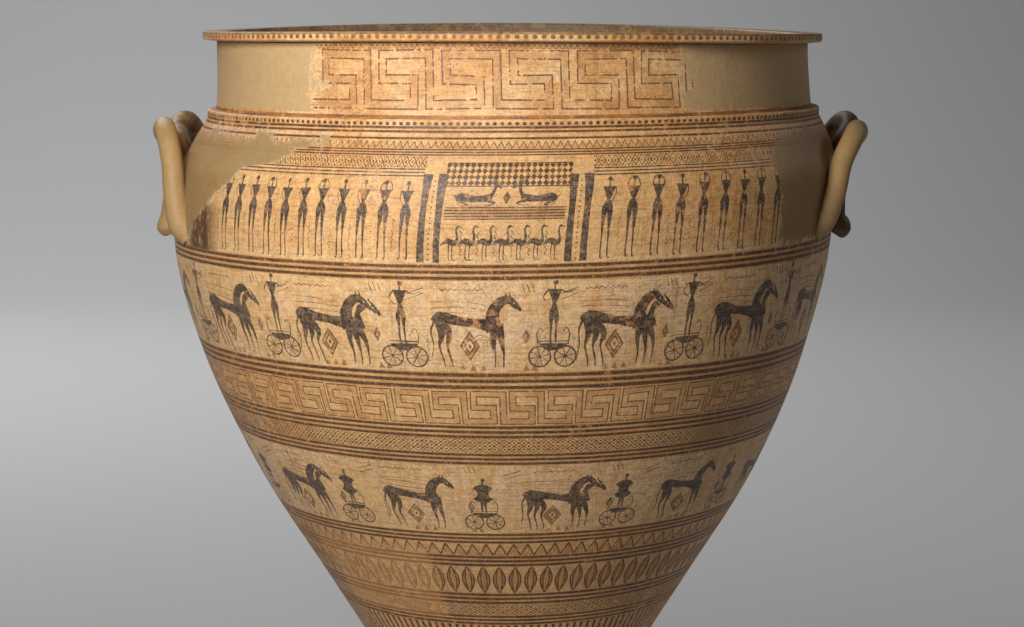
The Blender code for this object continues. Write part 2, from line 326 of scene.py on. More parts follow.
def wadingBird(d, tall):
    d.stroke([(-8.5, tall * 0.46), (-3, tall * 0.52), (3.5, tall * 0.47), (6.2, tall * 0.60),
              (4.6, tall * 0.82), (6.6, tall * 0.93)], [1.6, 6.2, 6.8, 2.6, 1.9, 2.6])
    d.stroke([(6.0, tall * 0.93), (11.0, tall * 0.88)], [2.0, 0.5])
    for x in (-1.8, 2.0):
        d.stroke([(x, tall * 0.46), (x - 0.6, tall * 0.2), (x, 1), (x + 3.4, 0.8)], [1.6, 1.0, 0.9, 0.6])
    d.stroke([(-7.5, tall * 0.48), (-11, tall * 0.40)], [2.4, 0.7])


def restingDeer(d):
    d.stroke([(0, 6), (5, 9), (20, 7.4), (34, 8.4)], [4, 9.5, 6.2, 8])
    d.stroke([(34, 8), (38.5, 14), (40.5, 21)], [7.4, 3.4, 2.8])
    d.stroke([(39.4, 21.6), (43.5, 21), (48, 18.4)], [3.0, 3.0, 1.2])
    for x in (-1.0, 2.2):  # two antlers with three tips
        d.stroke([(39.5 + x, 22), (35.5 + x, 26.6), (35.6 + x, 31)], [1.1, 0.9, 0.6])
        for tip in range(3):
            d.stroke([(36.4 + x, 25.4 + 1.9 * tip), (39.6 + x, 27.0 + 1.8 * tip)], [0.8, 0.4], bends=2)
    d.stroke([(3, 5), (13, 0.8), (5, 0.6), (1, 3)], [3.0, 1.5, 1.2, 1.0])
    d.stroke([(33, 5), (42, 3.4), (36, 0.8), (30, 1.4)], [3.0, 1.6, 1.2, 1.0])
    d.stroke([(0.5, 8), (-3.4, 11.4)], [1.8, 0.7])


meanderForm = {"neckFrom": -38.0, "neckTo": 29.5, "neckPeriod": 71.0, "neckBar": 8.5, "bellyUnits": 54,
               "bellyBar": 6.6, "line": 1.35, "washTone": 0.2, "lineTones": (0.66, 0.74), "shake": 0.35}


def meander(d, start, end, foot, height, period, bar, line):
    m = meanderForm
    across, up = period / 4, (height - bar) / 4
    turns = ((0, 0), (3, 0), (3, 2), (1, 2), (1, 4), (4, 4))
    count = round((end - start) / period)
    path = []
    for i in range(count):
        path += [(start + (4 * i + u) * across, foot + bar / 2 + v * up) for u, v in turns]
    path.append((start + 4 * count * across, foot + bar / 2))
    path = np.array(path)
    steps = np.diff(path, axis=0)
    ways = steps / np.hypot(*steps.T)[:, None]
    sides = np.stack([-ways[:, 1], ways[:, 0]], 1)
    before, after = np.vstack([sides[:1], sides]), np.vstack([sides, sides[-1:]])
    miter = (before + after) / (1 + (before * after).sum(1))[:, None]
    jitter = np.array([[d.hand.gauss(0, m["shake"]) for _ in "xy"] for _ in path])
    for first in range(0, len(path) - 1, len(turns)):
        part = slice(first, first + len(turns) + 1)

        def strip(left, right):
            left, right = ((path + jitter + miter * amount)[part] for amount in (left, right))
            return np.vstack([left, right[::-1]])

        d.area(strip(bar / 2, -bar / 2), m["washTone"], ("hatch", 1.7, 0, 1))
        for side in (-1, 1):
            d.area(strip(side * (bar / 2 + line / 2), side * (bar / 2 - line / 2)),
                   d.hand.uniform(*m["lineTones"]))


def lineSet(d, start, end, places, thick):
    for place in places:
        d.box(start, end, place - thick / 2, place + thick / 2)


friezeForm = {
    "panelHalf": 89, "pillarWide": 7.6, "pillarGap": 9.0, "leftFigures": 11, "footRoom": 4.0,
    "files": ((-1, 24.4, 0.985), (1, 28.5, 1.03)),  # side, pitch, size of the standing figures
    "clothTop": 106, "clothFoot": 80, "shelfTop": 58, "shelfFoot": 46, "birds": 7, "birdHeight": 39,
    "lineTop": (98.2, 94.6, 90.8), "chainFoot": 99.9,
}


def figurePanel(d):
    f = friezeForm
    half, wide, gap = f["panelHalf"], f["pillarWide"], f["pillarGap"]
    for side in (-1, 1):
        middle = side * (half - wide - gap / 2)
        for aside in (-1, 1):
            x, w = middle + aside * (gap + wide) / 2, wide / 2
            d.area([(x - w, 1), (x + w, 1), (x + w * 0.9, 60), (x + w * 1.25, 84), (x + w * 1.5, 93),
                    (x - w * 1.5, 93), (x - w * 1.25, 84), (x - w * 0.9, 60)], shake=0.25)
        for dot in range(16):
            d.disc(middle, 4 + dot * 5.4, 1.0, corners=8)
    inner, low, high = half - 2 * wide - gap - 3, f["clothFoot"], f["clothTop"]
    d.area([(-inner - 2, low), (inner + 2, low), (inner + 6, high), (-inner - 6, high)], 0.0,
           ("cloth", 13.0, low, 13.0))
    lineSet(d, -inner - 5, inner + 5, (low, high - 1), 1.2)
    low, high = f["shelfFoot"], f["shelfTop"]
    for side in (-1, 1):
        d.moveTo(side * 52, high + 1.6, 0.98, -side)
        restingDeer(d)
    d.moveTo(0, 0)
    d.lozengeNest(0, high + 10, 3.6, 7, 1.0)
    d.box(-inner, inner, low, high, 0.3, ("hatch", 1.5, 0, 1))
    lineSet(d, -inner - 1, inner + 1, np.linspace(low, high, 5), 1.3)
    birds = f["birds"]
    for bird in range(birds):
        x = (bird - (birds - 1) / 2) * 2 * inner / birds
        d.moveTo(x, f["footRoom"] - 1)
        wadingBird(d, f["birdHeight"])
        if bird < birds - 1:
            d.moveTo(0, 0)
            d.waves(x + inner / birds + 1, 8, 26, 9, 1.1)


def figureFrieze(width, height):
    d = Drawing(11)
    f = friezeForm
    half, chain = f["panelHalf"], f["chainFoot"]
    for side in (-1, 1):  # the narrow rings above the figures stop at the panel
        start, end = sorted((side * (half + 1), side * (width / 2 - 0.5)))
        d.box(start, end, chain, height - 0.3, 0.0, ("lozenges", 7.6, chain, height - chain))
        lineSet(d, start, end, f["lineTop"], 1.5)
    figurePanel(d)
    for side, pitch, size in f["files"]:
        first = half + 0.60 * pitch
        for i in range(int((width / 2 - first) / pitch)):
            x = side * (first + i * pitch) + d.hand.uniform(-0.8, 0.8)
            d.moveTo(x, f["footRoom"] + d.hand.uniform(-0.7, 0.7), size, side)
            if side > 0 or i < f["leftFigures"] or i > 2 * f["leftFigures"]:
                standingFigure(d, i % 3 == 1 or side > 0 and i % 3 == 2, d.hand.uniform(0.9, 1.15))
            d.moveTo(0, 0)
            between = x + side * pitch / 2
            if i % 2 == 0:
                d.waves(between, 12, 34, 11, 0.9, 0.6)
            else:
                for up in range(6):
                    d.disc(between, 14 + up * 6, 0.7, corners=6)
    return d.shapes


horsesForm = {"units": 15, "scale": 1.06, "footRoom": 4.5, "cartPlace": 121, "driverSize": 0.92}
shieldForm = {"units": 12, "scale": 0.93, "footRoom": 4.5, "cartPlace": 122, "shieldHeight": 54,
              "shieldRadius": 13.5}


def fillers(d, x, unit, height, order):
    for up in (0.60, 0.66, 0.72, 0.78):  # thin brush lines over the backs
        d.stroke([(x + 1, height * up + d.hand.uniform(-2, 2)), (x + 30, height * up + d.hand.uniform(-1, 1)),
                  (x + 57, height * (up - 0.03))], 0.75, 0.5, bends=2)
    d.waves(x + 4 + 6 * (order % 2), height * 0.91, 46, 15, 1.2, upright=False)
    for foot in (x + 28, x + 39, x + 50, x + 96, x + 105):
        d.area([(foot, 1.5), (foot + 7.5, 1.5), (foot + 3.6, 8.5 + d.hand.uniform(-1, 1))], 0.42, shake=0.3)
    d.lozengeNest(x + unit * 0.63, height * 0.40, 4.2, 8.5, 1.0, 0.3)
    left = x + unit * 0.60
    for i in range(3):
        d.stroke([(left + i * 5, height * 0.97), (left + 3 + i * 5, height * 0.88)], 0.9, bends=2)
    for up in (0.80, 0.86):  # long slanting strokes in front of the driver
        d.stroke([(x + unit * 0.86, height * up), (x + unit * 0.97, height * (up + 0.07))], 0.8, bends=2)
    d.waves(x + unit * 0.985, 12, 30, 9, 1.0, 0.7)


def horseProcession(width, height):
    d = Drawing(23)
    p = horsesForm
    unit = width / p["units"]
    for i in range(p["units"]):
        x = -width / 2 + (i + 0.03) * unit + d.hand.uniform(-1.5, 1.5)
        foot = p["footRoom"] + d.hand.uniform(-1, 1)
        fillers(d, x, unit, height, i)
        d.moveTo(x, foot, p["scale"])
        horse(d, i % 3 != 1, d.hand.uniform(0.97, 1.03))
        d.lozengeNest(38, 23.5, 10, 16)
        cart(d, p["cartPlace"], (-1, 1) if i % 2 else (1,))
        driver(d, p["cartPlace"], p["driverSize"])
        d.moveTo(0, 0)
    return d.shapes


def shieldProcession(width, height):
    d = Drawing(37)
    p = shieldForm
    unit = width / p["units"]
    for i in range(p["units"]):
        x = -width / 2 + (i + 0.12) * unit + d.hand.uniform(-2, 2)
        fillers(d, x, unit, height, i + 1)
        d.moveTo(x, p["footRoom"] + d.hand.uniform(-1, 1), p["scale"])
        horse(d, i % 2 == 0, d.hand.uniform(0.92, 1.0))
        d.lozengeNest(37, 21.5, 11.5, 15)
        cart(d, p["cartPlace"], (-1, 1))
        roundShield(d, p["cartPlace"], p["shieldHeight"], p["shieldRadius"])
        d.moveTo(0, 0)
    return d.shapes


def neckMeander(width, height):
    d = Drawing(5)
    m = meanderForm
    start, end = (width * turn / 360 for turn in (m["neckFrom"], m["neckTo"]))
    d.area([(start - 6, 1.5), (end + 7, 1.5), (end + 3, height * 0.5), (end + 8, height - 6),
            (start - 2, height - 5)], 0.0, ("patch", 1, 0, 1), shake=1.2)
    meander(d, start, end, 4, height - 11.5, m["neckPeriod"], m["neckBar"], 1.2 * m["line"])
    d.box(start, end, height - 6, height - 1, 0.0, ("teeth", 6.5, height - 6, 5))
    return d.shapes


def bellyMeander(width, height):
    d = Drawing(9)
    m = meanderForm
    edge = width / 2 - 2
    meander(d, -edge, edge, 1.2, height - 2.4, 2 * edge / m["bellyUnits"], m["bellyBar"], m["line"])
    return d.shapes


# The painted rings from under the lip to the foot: lower edge in metres, kind, rows, repeats around the pot
kinds = {"plain": 0, "lines": 1, "dots": 2, "teeth": 3, "lozenges": 4, "leaves": 5, "tongues": 6, "wash": 7,
         "hatch": 8, "cloth": 9, "patch": 10}
# The dark wash ring just under the lip is a brown wash with the lip's shadow painted into it. The wash at the
# neck's foot darkens the crease above the ledge.
neckRings = [(1.0730, "wash"), (1.0040, neckMeander), (1.0018, "plain"), (ledgeHeight, "wash")]
ledgeRings = [(0.9925, "dots", 0, 292), (shoulderHeight, "lines", 1)]
bowlRings = [
    (0.9845, "lines", 1), (0.9817, "plain"), (0.9781, "lines", 1), (0.9772, "plain"),
    (0.9703, "teeth", 1, 300), (0.9625, "lines", 3), (0.8530, figureFrieze), (0.8344, "lines", 3),
    (0.7358, horseProcession), (0.7152, "lines", 3), (0.6758, bellyMeander), (0.6592, "lines", 3),
    (0.6434, "lozenges", 2, 200), (0.6283, "lines", 3), (0.5455, shieldProcession),
    (0.5311, "lines", 3), (0.5167, "teeth", 1, 112), (0.5010, "lines", 3), (0.4664, "leaves", 1, 88),
    (0.4501, "lines", 3), (0.4362, "lozenges", 2, 130), (0.4220, "lines", 3),
    (0.3740, "tongues", 1, 150), (0.3600, "lines", 3), (0.3440, "teeth", 1, 80), (0.3300, "lines", 3),
    (0.2900, "plain"), (0.2800, "lines", 2), (0.2560, "wash"), (form["stemHeight"], "plain"),
]
footRings = [
    (0.2350, "wash"), (0.2150, "lines", 3), (0.1950, "lozenges", 2, 110), (0.1780, "lines", 3),
    (0.1080, "plain"), (0.0940, "lines", 3), (0.0700, "teeth", 1, 64), (0.0560, "lines", 3),
    (form["footEdgeHeight"], "wash"),
]


def spread(*values):
    return np.stack(np.broadcast_arrays(*values), -1)


class Skin:
    def __init__(self):
        self.parts = {"points": [], "normals": [], "clayMap": [], "bandMap": [], "stateMap": []}

    def add(self, points, normals, clay, band, state, triangles):
        for name, values in zip(self.parts, (points, normals, clay, band, state)):
            self.parts[name].append(values[triangles.ravel()] if len(values) == len(points) else values)

    def build(self, name, material):
        parts = {key: np.vstack(values) for key, values in self.parts.items()}
        cells = np.round(parts["points"], 6)
        corners, first, index = np.unique(cells, axis=0, return_index=True, return_inverse=True)
        triangles = index.reshape(-1, 3)
        whole = (triangles != np.roll(triangles, -1, 1)).all(1)
        triangles = triangles[whole]
        keep = np.repeat(whole, 3)
        mesh = bpy.data.meshes.new(name)
        mesh.vertices.add(len(corners))
        mesh.vertices.foreach_set("co", parts["points"][first].ravel())
        mesh.loops.add(triangles.size)
        mesh.loops.foreach_set("vertex_index", triangles.ravel())
        mesh.polygons.add(len(triangles))
        mesh.polygons.foreach_set("loop_start", np.arange(0, triangles.size, 3))
        mesh.update(calc_edges=True)
        for key in ("clayMap", "bandMap", "stateMap"):
            layer = mesh.attributes.new(key, "FLOAT_VECTOR", "CORNER")
            layer.data.foreach_set("vector", parts[key][keep].ravel())
        mesh.shade_smooth()
        mesh.normals_split_custom_set([tuple(n) for n in parts["normals"][keep]])
        mesh.materials.append(material)
        piece = bpy.data.objects.new(name, mesh)
        bpy.context.scene.collection.objects.link(piece)
        print(name, "has", len(triangles), "triangles")
        return piece


# The plain restored clay: heights in metres, turns in degrees from the front
restoredForm = {
    "left": ((0.853, -68), (0.872, -64), (0.905, -57.5), (0.925, -53.5), (0.945, -50.5), (0.952, -42),
             (0.966, -38), (0.975, -31)),
    "right": ((0.86, 51), (0.90, 49.5), (0.95, 48.5), (0.98, 52)),
    "behind": 118, "low": 0.8530, "high": 0.9745,
    "neckRoom": (0.6, 1.6), "neckRagged": ((1.5, 190), (0.8, 470)),
}


def restoredDepth(turn, height):  # metres inside the restored clay beside the handles, below 0 outside it
    r = restoredForm
    degrees = np.degrees(turn)
    left, right = (np.interp(height, *np.transpose(r[side])) for side in ("left", "right"))
    side = np.maximum(left - degrees, degrees - right) * math.pi / 180 * form["bellyRadius"]
    behind = (r["behind"] - np.abs(degrees)) * math.pi / 180 * form["bellyRadius"]
    return np.minimum(np.minimum(side, behind), np.minimum(r["high"] - height, height - r["low"]))


def neckDepth(turn, height):
    r, m = restoredForm, meanderForm
    degrees = np.degrees(turn)
    ragged = sum(swing * np.sin(height * often) for swing, often in r["neckRagged"])
    left = m["neckFrom"] - r["neckRoom"][0] + ragged - degrees
    right = degrees - m["neckTo"] - r["neckRoom"][1] - ragged
    return np.maximum(left, right) * math.pi / 180 * neckBaseRadius


def slopeNormals(turn, steep):
    up = -steep / np.hypot(1, steep)
    out = 1 / np.hypot(1, steep)
    return spread(np.sin(turn) * out, -np.cos(turn) * out, up)


def insideOf(points, shape):
    x, y = points.T[:, :, None]
    x0, y0 = shape.T
    x1, y1 = np.roll(shape, -1, 0).T
    side = (x1 - x0) * (y - y0) - (x - x0) * (y1 - y0)
    upward, downward = (y0 <= y) & (y1 > y) & (side > 0), (y1 <= y) & (y0 > y) & (side < 0)
    return upward.sum(1) != downward.sum(1)


def withShortEdges(points):
    pieces = []
    for start, end in zip(points, np.roll(points, -1, 0)):
        cuts = max(1, math.ceil(np.hypot(*(end - start)) / form["longestEdge"]))
        pieces.append(start + (end - start) * np.arange(cuts)[:, None] / cuts)
    return np.vstack(pieces)


def addPicture(skin, top, bottom, draw):
    heights = np.linspace(bottom, top, 60)
    along = np.append(0, np.cumsum(np.hypot(np.diff(heights), np.diff(outerRadius(heights))))) * 1000
    tall = along[-1]
    unroll = float(outerRadius((top + bottom) / 2)) * 1000
    edge = math.pi * unroll
    shapes = draw(2 * edge, tall)
    columns, margin = form["columns"], form["pictureMargin"]
    spots, edges = [], []
    turns = np.linspace(-math.pi, math.pi, columns + 1)
    for level in (0, tall):
        first = len(spots)
        spots += [(turn * unroll, level) for turn in turns]
        edges += [(first + i, first + i + 1) for i in range(columns)]
    for level in np.linspace(0, tall, max(2, round(tall / form["fillPitch"])) + 1)[1:-1]:
        spots += [(turn * unroll, level) for turn in turns[::2]]
    for points, _, _ in shapes:
        low, high = (-edge + margin[0], margin[1]), (edge - margin[0], tall - margin[1])
        inside = withShortEdges(np.clip(points, low, high))
        first, count = len(spots), len(inside)
        spots += [tuple(p) for p in inside]
        edges += [(first + i, first + (i + 1) % count) for i in range(count)]
    found = delaunay_2d_cdt([Vector(p) for p in spots], edges, [], 0, 0.02, False)
    flat = np.array([tuple(p) for p in found[0]])
    triangles = np.array(found[2])
    for level in (0, tall):
        flat[abs(flat[:, 1] - level) < 0.03, 1] = level
    onEdge = (flat[:, 1] == 0) | (flat[:, 1] == tall)
    column = np.round((flat[:, 0] / unroll + math.pi) / (2 * math.pi) * columns).astype(int)
    turn = np.where(onEdge, turns[np.clip(column, 0, columns)], flat[:, 0] / unroll)
    turn = np.where(abs(abs(turn) - math.pi) < 1e-5, np.sign(turn) * math.pi, turn)
    height = np.interp(flat[:, 1], along, heights)
    a, b, c = (flat[triangles[:, i]] for i in range(3))
    area = (b[:, 0] - a[:, 0]) * (c[:, 1] - a[:, 1]) - (c[:, 0] - a[:, 0]) * (b[:, 1] - a[:, 1])
    triangles = triangles[abs(area) > 1e-6]
    corners = flat[triangles]
    centres = corners.mean(1)
    tone = np.zeros(len(triangles))
    band = np.zeros((len(triangles), 3, 3))
    for points, shade, pattern in shapes:
        near = np.flatnonzero(((centres >= points.min(0)) & (centres <= points.max(0))).all(1))
        near = near[insideOf(centres[near], points)]
        tone[near] = shade
        band[near] = 0
        if pattern:
            kind, pitch, foot, rowPitch = pattern
            x, y = corners[near, :, 0], corners[near, :, 1]
            band[near] = spread(x / pitch, (y - foot) / rowPitch, kinds[kind])
    above, below = (np.clip(height + step, bottom, top) for step in (0.001, -0.001))
    steep = (outerRadius(above) - outerRadius(below)) / (above - below)
    points = skinPoint(turn, outerRadius(height), height, True)
    clay = spread(turn[triangles], height[triangles], tone[:, None]).reshape(-1, 3)
    depth = neckDepth if np.max(height) > ledgeHeight - 0.0001 else restoredDepth
    state = spread(depth(turn, height), 0, 0)
    skin.add(points, slopeNormals(turn, steep), clay, band.reshape(-1, 3), state, triangles)


def wayOf(start, end):
    way = np.array(end, float) - np.array(start, float)
    return way / max(np.hypot(*way), 1e-9)


def addTurned(skin, rows, zones):  # rows of radius and height, each zone the strip between two of them
    columns = form["columns"]
    turns = np.linspace(-math.pi, math.pi, columns + 1)
    ways = [wayOf(a, b) for a, b in zip(rows, rows[1:])]
    sharp = math.cos(math.radians(form["sharpCorner"]))
    left = np.arange(columns)
    right, below = left + 1, columns + 1
    triangles = np.vstack([spread(left, left + below, right + below), spread(left, right + below, right)])
    for i, zone in enumerate(zones):
        if zone["kind"] == "picture":
            continue
        starts, ends = ways[i], ways[i]
        if i and ways[i - 1] @ ways[i] > sharp:
            starts = ways[i - 1] + ways[i]
        if i + 1 < len(ways) and ways[i + 1] @ ways[i] > sharp:
            ends = ways[i + 1] + ways[i]
        strips = []
        sides = ((*rows[i], starts, zone["start"]), (*rows[i + 1], ends, zone["end"]))
        for radius, height, way, cross in sides:
            way = way / np.hypot(*way)
            fill = restoredDepth(turns, height) if zone["fills"] else zone["fill"]
            strips.append((
                skinPoint(turns, radius, height, zone["painted"]),
                spread(-way[1] * np.sin(turns), way[1] * np.cos(turns), way[0]),
                spread(turns, height, 0),
                spread(turns / (2 * math.pi) * zone["repeats"], cross, kinds[zone["kind"]]),
                spread(turns * 0 + fill, zone["inside"], 0)))
        skin.add(*(np.vstack(part) for part in zip(*strips)), triangles)


# A strip of the turned skin: its band runs from start to end, "fill" is its depth inside restored clay
plainZone = {"kind": "plain", "start": 0.0, "end": 0.0, "repeats": 0, "painted": False, "fills": False,
             "fill": -0.05, "inside": 0.0}


def potRows():
    rows, zones = [], []
    steps, soft, thick = form["roundingSteps"], form["lipRounding"], form["floorThickness"]

    def row(radius, height, **zone):
        if rows and max(abs(radius - rows[-1][0]), abs(height - rows[-1][1])) < 1e-6:
            return
        if rows:
            zones.append({**plainZone, **zone})
        rows.append((float(radius), float(height)))

    def rounding(fromWay, toWay, cornerRadius, cornerHeight, **zone):
        for step in range(steps + 1):
            turn = math.radians(fromWay + (toWay - fromWay) * step / steps)
            row(cornerRadius + soft * math.cos(turn), cornerHeight + soft * math.sin(turn), **zone)

    def dotRows(tall, pitch):
        bulge = tall / pitch / 2
        return 0.5 + bulge, 0.5 - bulge

    def rings(upper, ringList, radiusAt=outerRadius, **zone):
        for lower, kind, *counts in ringList:
            if callable(kind):
                row(radiusAt(lower), lower, kind="picture", top=upper, bottom=lower, draw=kind)
                upper = lower
                continue
            count, repeats = (*counts, 0, 0)[:2]
            strips = max(1, round((upper - lower) / form["rowHeight"]))
            start, end = float(count), 0.0
            if kind == "dots":
                start, end = dotRows(upper - lower, 2 * math.pi * shoulderRadius / repeats)
            for strip in range(strips):
                share, after = strip / strips, (strip + 1) / strips
                level = upper + (lower - upper) * after
                row(radiusAt(level), level, kind=kind, repeats=repeats, start=start + (end - start) * share,
                    end=start + (end - start) * after, **zone)
            upper = lower

    row(0, floorHeight)
    row(floorRadius * 0.5, floorHeight, inside=1.0)
    row(floorRadius, floorHeight + 0.1 * thick, inside=1.0)
    low, high = floorHeight + 0.85 * thick, shoulderHeight - form["bowlWall"] / 2
    for height in np.append(np.linspace(low, bellyHeight, 18), np.linspace(bellyHeight, high, 7)[1:]):
        row(innerRadius(height, form["bowlWall"]), height, inside=1.0)
    innerNeck = neckBaseRadius - form["neckWall"]
    row(innerNeck, ledgeHeight, inside=1.0)
    for height in np.linspace(ledgeHeight, lipUnderside, 8)[1:]:
        share = (lipUnderside - height) / form["neckHeight"]
        row(mouthRadius + (innerNeck - mouthRadius) * share**2, height, inside=1.0)
    rounding(180, 90, mouthRadius + soft, lipTop - soft, inside=0.7)
    rounding(90, 0, lipRadius - soft, lipTop - soft, inside=0.7)
    dots = form["lipDots"]
    start, end = dotRows(lipTop - lipBottom - 2 * soft, 2 * math.pi * lipRadius / dots)
    row(lipRadius, lipBottom + soft, kind="dots", repeats=dots, start=start, end=end)
    rounding(0, -90, lipRadius - soft, lipBottom + soft)
    row(neckWaistRadius + 2 * form["lipRise"], neckTop, fill=0.05)
    row(outerRadius(neckTop), neckTop, fill=0.05)
    rings(neckTop, neckRings, painted=True)
    ledgeSoft = form["ledgeRounding"]
    corner = ledgeHeight - ledgeSoft
    row(shoulderRadius - ledgeSoft, ledgeHeight, kind="wash", painted=True)
    for step in range(1, steps + 1):
        turn = math.radians(90 - 90 * step / steps)
        out, up = ledgeSoft * (1 - math.cos(turn)), ledgeSoft * math.sin(turn)
        row(shoulderRadius - out, corner + up, painted=True)
    rings(corner, ledgeRings, lambda height: shoulderRadius, painted=True)
    rings(shoulderHeight, bowlRings, painted=True, fills=True)
    rings(form["stemHeight"], footRings)
    row(footRadius, form["footRounding"], kind="wash")
    row(footRadius - form["footRounding"], 0)
    row(footRadius - form["footWall"], 0)
    for height in np.linspace(0.004, ceilingHeight - thick / 2, 9):
        row(innerRadius(max(height, form["footEdgeHeight"]), form["footWall"]), height, inside=0.4)
    row(floorRadius, ceilingHeight - 0.05 * thick, inside=0.4)
    row(0, ceilingHeight, inside=0.4)
    return rows, zones


# The four loops of the two handles, in metres and degrees, the same values as in the CAD source
handleForm = {"thickness": 0.0245, "slack": 0.0002, "middleDrop": 0.032, "middleTurn": 1.4, "pathSteps": 6,
              "roundSteps": 6, "fill": 0.05}
nowhere = 2.0  # a height or depth that no bar reaches: the bar isn't darkened there
# The last two columns give the height from which a loop's bar turns dark, and the depth towards the back from
# which it does. This dark is partly the loop's old dark paint and partly painted shade on the loop's shaded
# back and top.
loopValues = ("side", "towards", "rootTurn", "rootDrop", "topTurn", "stand", "rise", "flare",
              "paintAndShadeFrom", "paintAndShadeBehind")
handleLoops = [dict(zip(loopValues, values)) for values in (
    (-1, -1, 21.5, 0.022, 12.5, 0.0195, 0.0920, 0.0055, nowhere, nowhere),
    (-1, 1, 22.0, 0.022, 11.5, 0.0180, 0.0915, 0.0055, 0.90, nowhere),
    (1, -1, 23.0, 0.015, 12.0, 0.0155, 0.0885, 0.0085, nowhere, -0.05),
    (1, 1, 21.0, 0.016, 9.0, 0.0195, 0.0920, 0.0085, 0.70, nowhere),
)]


def handleRoute(loop):
    h = handleForm
    half = h["thickness"] / 2
    reach = form["bellyRadius"] + loop["stand"]
    rootHeight = bellyHeight - loop["rootDrop"]
    span = loop["rootDrop"] + loop["rise"]
    turns = (loop["rootTurn"], loop["topTurn"], h["middleTurn"])
    rootTurn, topTurn, middleTurn = (math.radians(turn) for turn in turns)
    outer, inner = rootTurn - topTurn, topTurn - middleTurn
    rootWall = float(outerRadius(rootHeight))
    middleWall = float(outerRadius(bellyHeight - h["middleDrop"]))
    middle = (loop["rootDrop"] - h["middleDrop"]) / span

    def at(turn, radius, share):
        height = rootHeight + share * span
        return (loop["side"] * radius * math.cos(turn) + float(leanAt(height)),
                loop["towards"] * radius * math.sin(turn), height)

    return [
        (at(rootTurn + 0.12 * outer, rootWall - 0.62 * half, -0.08), 0.95),
        (at(rootTurn, rootWall + 0.15 * half, 0.06), 1.22),
        (at(rootTurn - 0.12 * outer, rootWall + 0.75 * half, 0.32), 1.06),
        (at(rootTurn - 0.32 * outer, reach - 0.45 * half, 0.68), 1.0),
        (at(topTurn + 0.40 * outer, reach - 0.05 * half, 0.92), 1.0),
        (at(topTurn, reach, 1.0), 1.02),
        (at(topTurn - 0.42 * inner, reach - 0.10 * half, 0.93), 1.0),
        (at(middleTurn + 0.05 * inner, reach - 1.25 * half, 0.72), 1.08),
        (at(middleTurn, middleWall + 0.38 * half, middle + 0.30), 0.98),
        (at(middleTurn, middleWall + 0.42 * half, middle + 0.14), 1.08),
        (at(middleTurn, middleWall + loop["flare"], middle + 0.02), 1.40),
        (at(middleTurn, middleWall + 0.5 * loop["flare"], middle - 0.045), 0.85),  # a round underside
    ]


def addHandle(skin, loop):
    curve = bpy.data.curves.new("loopPath", "CURVE")
    curve.dimensions = "3D"
    curve.bevel_depth = (handleForm["thickness"] - handleForm["slack"]) / 2
    curve.bevel_resolution = handleForm["roundSteps"]
    curve.resolution_u = handleForm["pathSteps"]
    curve.use_fill_caps = True
    spline = curve.splines.new("BEZIER")
    route = handleRoute(loop)
    spline.bezier_points.add(len(route) - 1)
    for point, (place, size) in zip(spline.bezier_points, route):
        point.co = place
        point.radius = size
        point.handle_left_type = point.handle_right_type = "AUTO"
    piece = bpy.data.objects.new("loopPath", curve)
    bpy.context.scene.collection.objects.link(piece)
    bpy.context.view_layer.update()
    mesh = bpy.data.meshes.new_from_object(piece.evaluated_get(bpy.context.evaluated_depsgraph_get()))
    mesh.calc_loop_triangles()
    points = np.array([tuple(v.co) for v in mesh.vertices])
    normals = np.array([tuple(v.normal) for v in mesh.vertices])
    triangles = np.array([tuple(t.vertices) for t in mesh.loop_triangles])
    x, y, z = points.T
    clay = spread(np.arctan2(x, -y), z, 0)
    # The upper and back parts of some loops turn dark: old dark paint, with painted shade where the bar faces
    # away from the key lamp
    loopPaintAndShade = np.maximum(smoothStep(loop["paintAndShadeFrom"], loop["paintAndShadeFrom"] + 0.05, z),
                      smoothStep(loop["paintAndShadeBehind"], loop["paintAndShadeBehind"] + 0.04, y))
    skin.add(points, normals, clay, clay * 0, spread(handleForm["fill"], 0, 1 + loopPaintAndShade), triangles)
    bpy.data.objects.remove(piece)
    bpy.data.meshes.remove(mesh)
    bpy.data.curves.remove(curve)


def mathMethod(operation):
    return lambda *values: values[0].math(operation, *values)


class Socket:
    __add__ = __radd__ = mathMethod("ADD")
    __mul__ = __rmul__ = mathMethod("MULTIPLY")
    __sub__ = mathMethod("SUBTRACT")
    power, least, most = mathMethod("POWER"), mathMethod("MINIMUM"), mathMethod("MAXIMUM")
    part, size, sine = mathMethod("FRACT"), mathMethod("ABSOLUTE"), mathMethod("SINE")

    def __init__(self, finish, link):
        self.finish = finish
        self.link = link

    def __rsub__(self, other):
        return self.math("SUBTRACT", other, self)

    def math(self, operation, *values, clamp=False):
        settings = {"operation": operation, "use_clamp": clamp}
        return self.finish.node("ShaderNodeMath", settings, dict(enumerate(values)))

    def equals(self, number):
        return self.math("COMPARE", self, number, 0.3)

    def below(self, limit, soft):
        return self.math("MULTIPLY_ADD", limit - self, 1 / soft, 0.5, clamp=True)

    def near(self, place, reach, soft):
        return (self - place).size().below(reach, soft)

    def between(self, low, high):
        return self.finish.node("ShaderNodeMapRange", {"interpolation_type": "SMOOTHSTEP"},
                                {0: self, 1: low, 2: high, 3: 0.0, 4: 1.0})


